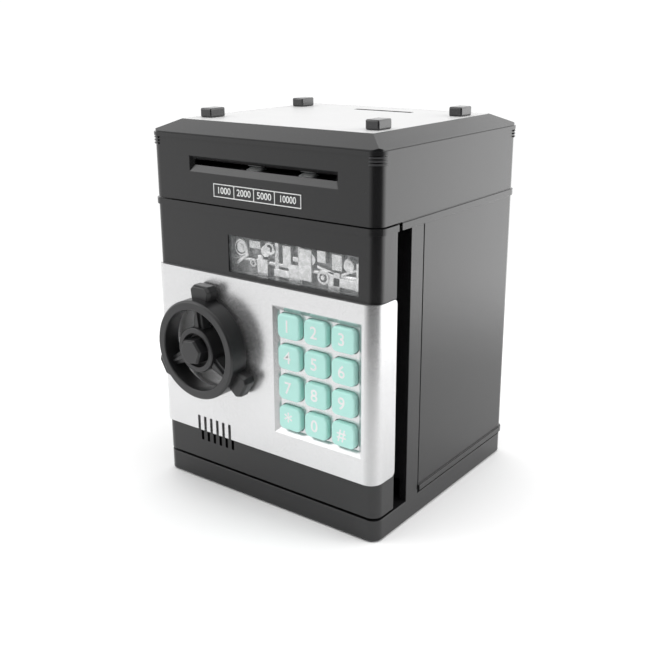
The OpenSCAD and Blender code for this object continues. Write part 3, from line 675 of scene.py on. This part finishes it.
class BANK_OT_handwheel(Maker, bpy.types.Operator):
    """Three-spoked handwheel with a deep rim, blunt grips and a hexagonal boss"""
    bl_idname = "bank.handwheel"
    bl_label = "Handwheel"

    def build(self, sizes, tones):
        lo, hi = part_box("handwheel")
        cap_lo, cap_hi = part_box("handwheel_cap")
        x, z = (cap_lo.x + cap_hi.x) / 2, (cap_lo.z + cap_hi.z) / 2
        y0, y1 = lo.y, hi.y
        r, h = sizes.rim, sizes.hub
        shape = bmesh.new()
        rim = [(r - 4.6 * MM, 0.5 * MM), (r - 4.2 * MM, 0), (r - 0.9 * MM, 0), (r, 0.9 * MM),
               (r, y1 - y0 - 0.8 * MM), (r - 0.8 * MM, y1 - y0), (r - 3.4 * MM, y1 - y0),
               (r - 3.9 * MM, y1 - y0 - 0.5 * MM)]
        lathe(shape, (x, y0, z), rim, steps=128)
        hub = [(h - 3.0 * MM, 0.4), (h - 2.6 * MM, 0.0), (h - 0.5 * MM, 0.0), (h, 0.5), (h, 9.2),
               (2.2 * MM, 9.2), (2.2 * MM, 4.0), (h - 3.4 * MM, 4.0)]
        lathe(shape, (x, y0 + 0.8 * MM, z), [(a, b * MM) for a, b in hub], steps=96)
        for i in range(3):
            turn = math.radians(89 - 120 * i)
            s, e = h - 1.2 * MM, r - 4.0 * MM
            a, b = sizes.spoke / 2, sizes.spoke * 0.30
            prism(shape, [(s, -a), (e, -b), (e, b), (s, a)], y0 + 3.4 * MM, y1 - 2.0 * MM, turn, (x, z))
            ridge = [(s, -a * 0.55), (e, -b * 0.2), (e, b * 0.2), (s, a * 0.55)]
            prism(shape, ridge, y0 + 2.2 * MM, y0 + 3.8 * MM, turn, (x, z), 0.8)
            g, c = sizes.grip / 2, 2.0 * MM
            g0, g1 = r - 1.4 * MM, r + 6.3 * MM
            grip = [(g0, -g * 0.86), (g1 - c, -g), (g1, -g + c), (g1, g - c), (g1 - c, g), (g0, g * 0.86)]
            prism(shape, grip, y0 + 4.3 * MM, y0 + 5.8 * MM, turn, (x, z), 0.84)
            prism(shape, grip, y0 + 5.8 * MM, y1 - 0.2 * MM, turn, (x, z))
        mesh = bpy.data.meshes.new("handwheel_moulding")
        tidy(mesh, shape, "handwheel_moulding")
        add_piece("handwheel_moulding", mesh, "wheel_grey", NODE_BODY["handwheel"], ("handwheel",),
                  sizes.edge * 0.7)
        boss, front = bmesh.new(), cap_lo.y
        prism(boss, polygon(6, 6.6 * MM, math.radians(8)), front, front + 1.0 * MM, 0.0, (x, z), 0.9)
        prism(boss, polygon(6, 6.6 * MM, math.radians(8)), front + 1.0 * MM, y0 + 4.8 * MM, 0.0, (x, z))
        mesh = bpy.data.meshes.new("handwheel_boss")
        tidy(mesh, boss, "handwheel_boss")
        add_piece("handwheel_boss", mesh, "wheel_grey", NODE_BODY["handwheel_cap"], ("handwheel_cap",),
                  sizes.edge * 0.4)


class BANK_OT_window(Maker, bpy.types.Operator):
    """Clear window with a plated picture of a lock's works behind it"""
    bl_idname = "bank.window"
    bl_label = "Window"

    def build(self, sizes, tones):
        paint_node("window_lens", "lens_clear")
        soften("window_relief", "relief_silver", sizes.edge * 0.8)
        lo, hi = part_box("window_lens")
        front = hi.y + 0.9 * MM
        wide, tall = hi.x - lo.x, hi.z - lo.z
        shape = bmesh.new()

        def at(u, v):
            return lo.x + u * wide, lo.z + v * tall

        for u, v, outer, inner in ((0.065, 0.66, 4.3, 3.0), (0.30, 0.76, 3.3, 1.7), (0.715, 0.26, 3.6, 2.0),
                                   (0.165, 0.30, 2.2, 1.0), (0.90, 0.72, 2.6, 1.3)):
            x, z = at(u, v)
            ring = [(inner, 0.0), (outer - 0.5, 0.0), (outer, 0.5), (outer, 3.0), (inner, 3.0)]
            lathe(shape, (x, front + 0.2 * MM, z), [(a * MM, b * MM) for a, b in ring], steps=40)
            prism(shape, polygon(6, (inner - 0.5) * MM), front - 0.2 * MM, front + 2.4 * MM,
                  0.4, (x, z), 0.8)
        for u0, u1, v0, v1, back in ((0.40, 0.47, 0.30, 0.93, 0.6), (0.53, 0.635, 0.06, 0.95, 0.0),
                                     (0.33, 0.46, 0.05, 0.26, 0.4), (0.665, 0.735, 0.62, 0.95, 0.5),
                                     (0.78, 0.97, 0.08, 0.33, 0.5), (0.77, 0.85, 0.48, 0.92, 0.9),
                                     (0.955, 0.985, 0.05, 0.80, 0.1), (0.20, 0.245, 0.10, 0.55, 0.6),
                                     (0.125, 0.225, 0.68, 0.90, 1.0)):
            x0, z0 = at(u0, v0)
            x1, z1 = at(u1, v1)
            block(shape, x0, x1, z0, z1, front + back * MM, front + 2.4 * MM, 0.93)
        for (u0, v0), (u1, v1), half in (
                ((0.01, 0.16), (0.13, 0.55), 0.9), ((0.66, 0.52), (0.80, 0.40), 0.7),
                ((0.48, 0.60), (0.53, 0.60), 1.2), ((0.84, 0.40), (0.97, 0.62), 0.6)):
            (x0, z0), (x1, z1) = at(u0, v0), at(u1, v1)
            run, turn = math.hypot(x1 - x0, z1 - z0), math.atan2(z1 - z0, x1 - x0)
            h = half * MM
            prism(shape, [(0, -h), (run, -h), (run, h), (0, h)], front + 0.5 * MM, front + 2.4 * MM, turn,
                  (x0, z0), 0.9)
        mesh = bpy.data.meshes.new("lock_works")
        tidy(mesh, shape, "lock_works")
        add_piece("lock_works", mesh, "relief_silver", NODE_BODY["window_relief"], (), 0.2 * MM)


class BANK_OT_label(Maker, bpy.types.Operator):
    """Four outlined boxes with banknote values under the slot"""
    bl_idname = "bank.label"
    bl_label = "Value label"

    def build(self, sizes, tones):
        paint_node("denomination_plate", "label_black")
        lo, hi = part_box("denomination_plate")
        line, rise = 0.42 * MM, sizes.print_rise
        shape = bmesh.new()
        cuts = [0.0, 0.243, 0.475, 0.712, 1.0]
        xs = [lo.x + line + c * (hi.x - lo.x - 2 * line) for c in cuts]
        z0, z1, y0, y1 = lo.z + 0.2 * MM, hi.z - 0.2 * MM, lo.y - rise, lo.y + rise
        for z in (z0, z1 - line):
            block(shape, xs[0] - line / 2, xs[-1] + line / 2, z, z + line, y0, y1)
        for i, x in enumerate(xs):
            block(shape, x - line / 2, x + line / 2, z0 + line, z1 - line, y0, y1)
            if 0 < i < 4:
                tab = 0.42 * MM
                block(shape, x - tab, x + tab, z1 - line - 1.2 * tab, z1 - line, y0, y1)
        mesh = bpy.data.meshes.new("value_frames")
        tidy(mesh, shape, "value_frames")
        add_piece("value_frames", mesh, "figure_white", NODE_BODY["denomination_plate"])
        for value, a, b in zip(("1000", "2000", "5000", "10000"), xs, xs[1:]):
            squeeze = 0.98 if len(value) == 4 else 0.88
            figures("value_" + value, value, sizes.small_figure, (a + b) / 2, (z0 + z1) / 2, lo.y, rise,
                    NODE_BODY["denomination_plate"], squeeze)


class BANK_OT_feed(Maker, bpy.types.Operator):
    """Note feed: ribbed rubber rollers, gears, shafts, motor, guide, chute and board"""
    bl_idname = "bank.feed"
    bl_label = "Note feed"

    def build(self, sizes, tones):
        for node in ("drive_rollers", "idler_rollers"):
            self.treads(node)
        soften("note_guide", "label_black", sizes.edge * 0.4)
        for node in ("bearing_blocks", "coin_chute"):
            soften(node, "inner_white", sizes.edge * 0.4)
        for node in ("roller_gear", "motor_pinion"):
            paint_node(node, "inner_white")
        for node in ("drive_shaft", "idler_shaft"):
            paint_node(node, "steel")
        soften("feed_motor", "steel", sizes.edge * 0.8)
        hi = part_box("control_board")[1]
        paint_node("control_board", circuit("control_circuit", hi.z - 1.3 * MM))

    def treads(self, node):
        """Crowned rollers with moulded tread grooves."""
        lo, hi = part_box(node)
        r = (hi.z - lo.z) / 2
        wide = 8.6 * MM
        shape = bmesh.new()
        for start in (lo.x, hi.x - wide):
            profile = [(1.5 * MM, 0.0), (r - 1.0 * MM, 0.0), (r - 0.25 * MM, 0.4 * MM)]
            for i in range(5):
                a = 0.8 * MM + i * 1.5 * MM
                low = r - 0.35 * MM
                profile += [(r, a), (r, a + 0.9 * MM), (low, a + 1.1 * MM), (low, a + 1.3 * MM)]
            profile += [(r - 0.25 * MM, wide - 0.2 * MM), (r - 1.0 * MM, wide), (1.5 * MM, wide)]
            lathe(shape, (start, (lo.y + hi.y) / 2, (lo.z + hi.z) / 2), profile, "X", 64)
        mesh = bpy.data.meshes.new(node + "_tread")
        tidy(mesh, shape, node + "_tread")
        add_piece(node + "_tread", mesh, "roller_rubber", NODE_BODY[node], (node,))


class BANK_OT_stage(Maker, bpy.types.Operator):
    """White studio floor, softboxes, surrounding light and camera"""
    bl_idname = "bank.stage"
    bl_label = "Studio"

    def build(self, sizes, tones):
        scene = bpy.context.scene
        settings = scene.bank_stage
        mesh = bpy.data.meshes.new("studio_floor")
        rim = [(0.5 * math.cos(a * math.pi / 32), 0.5 * math.sin(a * math.pi / 32), 0) for a in range(64)]
        mesh.from_pydata(rim, [], [tuple(range(64))])
        paint = Paint.named("studio_floor")
        place = paint.place()
        cloud = paint.noise(place, 3.0, 3.0)
        fade = ((0.44 - paint.far(place, (0.0, 0.0, 0.0))) / 0.24).held()
        paint.finish(Base_Color=paint.scaled((0.97, 0.97, 0.97), 0.99 + cloud * 0.02), Roughness=0.9,
                     Alpha=fade * fade * (3 - fade * 2))
        paint.surface.inputs["Specular IOR Level"].default_value = 0.0
        mesh.materials.append(paint.owner)
        floor = bpy.data.objects.new("studio_floor", mesh)
        bpy.context.collection.objects.link(floor)
        for name, at, size, power in (
                ("softbox_left", (-0.85, -0.75, 0.75), 0.7, settings.key_light),
                ("softbox_top", (0.05, -0.1, 1.15), 0.9, settings.key_light),
                ("softbox_right", (0.95, 0.35, 0.5), 0.6, settings.key_light * 1.1)):
            data = bpy.data.lights.new(name, "AREA")
            data.energy, data.size = power, size
            light = bpy.data.objects.new(name, data)
            light.location = at
            light.rotation_euler = (Vector((0, 0, 0.09)) - Vector(at)).to_track_quat("-Z", "Y").to_euler()
            bpy.context.collection.objects.link(light)
        self.surroundings(scene, settings)
        scene.view_settings.view_transform = "Standard"
        data = bpy.data.cameras.new("camera")
        data.lens, data.sensor_width, data.shift_y = settings.lens, 36.0, CAMERA_SHIFT
        camera = bpy.data.objects.new("camera", data)
        yaw, pitch, roll = (math.radians(a) for a in CAMERA_ANGLES)
        level = math.cos(pitch)
        ahead = Vector((-math.sin(yaw) * level, math.cos(yaw) * level, -math.sin(pitch)))
        right = Vector((math.cos(yaw), math.sin(yaw), 0.0))
        up = right.cross(ahead)
        c, s = math.cos(roll), math.sin(roll)
        rows = (c * right + s * up, c * up - s * right, -ahead)
        camera.matrix_world = (Matrix.Translation(CAMERA_AT)
                               @ Matrix(rows).transposed().to_4x4())
        bpy.context.collection.objects.link(camera)
        scene.camera = camera

    def surroundings(self, scene, settings):
        """White to the eye; for reflections, a studio with a dark front right and a bright back right."""
        world = Paint(bpy.data.worlds.new("studio"), "Background")
        view = world.node("ShaderNodeTexCoord", out="Generated")
        dark = world.lobe(view, DARK_SIDE, 0.10, 0.85)
        bright = world.lobe(view, BRIGHT_SIDE, 0.45, 0.95)
        glow = settings.sky * (1 - dark * 0.93) + bright * 1.5
        seen = world.node("ShaderNodeLightPath", out="Is Camera Ray")
        world.feed(world.surface.inputs["Color"], (1.0, 1.0, 1.0))
        world.feed(world.surface.inputs["Strength"], glow + (SEEN_WHITE - glow) * seen)
        scene.world = world.owner


MAKERS = (BANK_OT_finishes, BANK_OT_casing, BANK_OT_door, BANK_OT_keypad, BANK_OT_handwheel,
          BANK_OT_window, BANK_OT_label, BANK_OT_feed, BANK_OT_stage)


class BANK_PT_panel(bpy.types.Panel):
    """Buttons and settings for the bank"""
    bl_label = "Savings bank"
    bl_idname = "BANK_PT_panel"
    bl_space_type = "VIEW_3D"
    bl_region_type = "UI"
    bl_category = "Savings bank"

    def draw(self, context):
        for maker in MAKERS:
            self.layout.operator(maker.bl_idname)
        for group in (context.scene.bank_sizes, context.scene.bank_tones, context.scene.bank_stage):
            for name in group.bl_rna.properties.keys():
                if name not in ("rna_type", "name"):
                    self.layout.prop(group, name)


CLASSES = (BankTones, BankSizes, BankStage, *MAKERS, BANK_PT_panel)


def register():
    for cls in CLASSES:
        bpy.utils.register_class(cls)
    bpy.types.Scene.bank_tones = bpy.props.PointerProperty(type=BankTones)
    bpy.types.Scene.bank_sizes = bpy.props.PointerProperty(type=BankSizes)
    bpy.types.Scene.bank_stage = bpy.props.PointerProperty(type=BankStage)


def unregister():
    del bpy.types.Scene.bank_tones, bpy.types.Scene.bank_sizes, bpy.types.Scene.bank_stage
    for cls in reversed(CLASSES):
        bpy.utils.unregister_class(cls)


def main():
    register()
    for maker in MAKERS:
        group, name = maker.bl_idname.split(".")
        getattr(getattr(bpy.ops, group), name)()


if __name__ == "__main__":
    main()
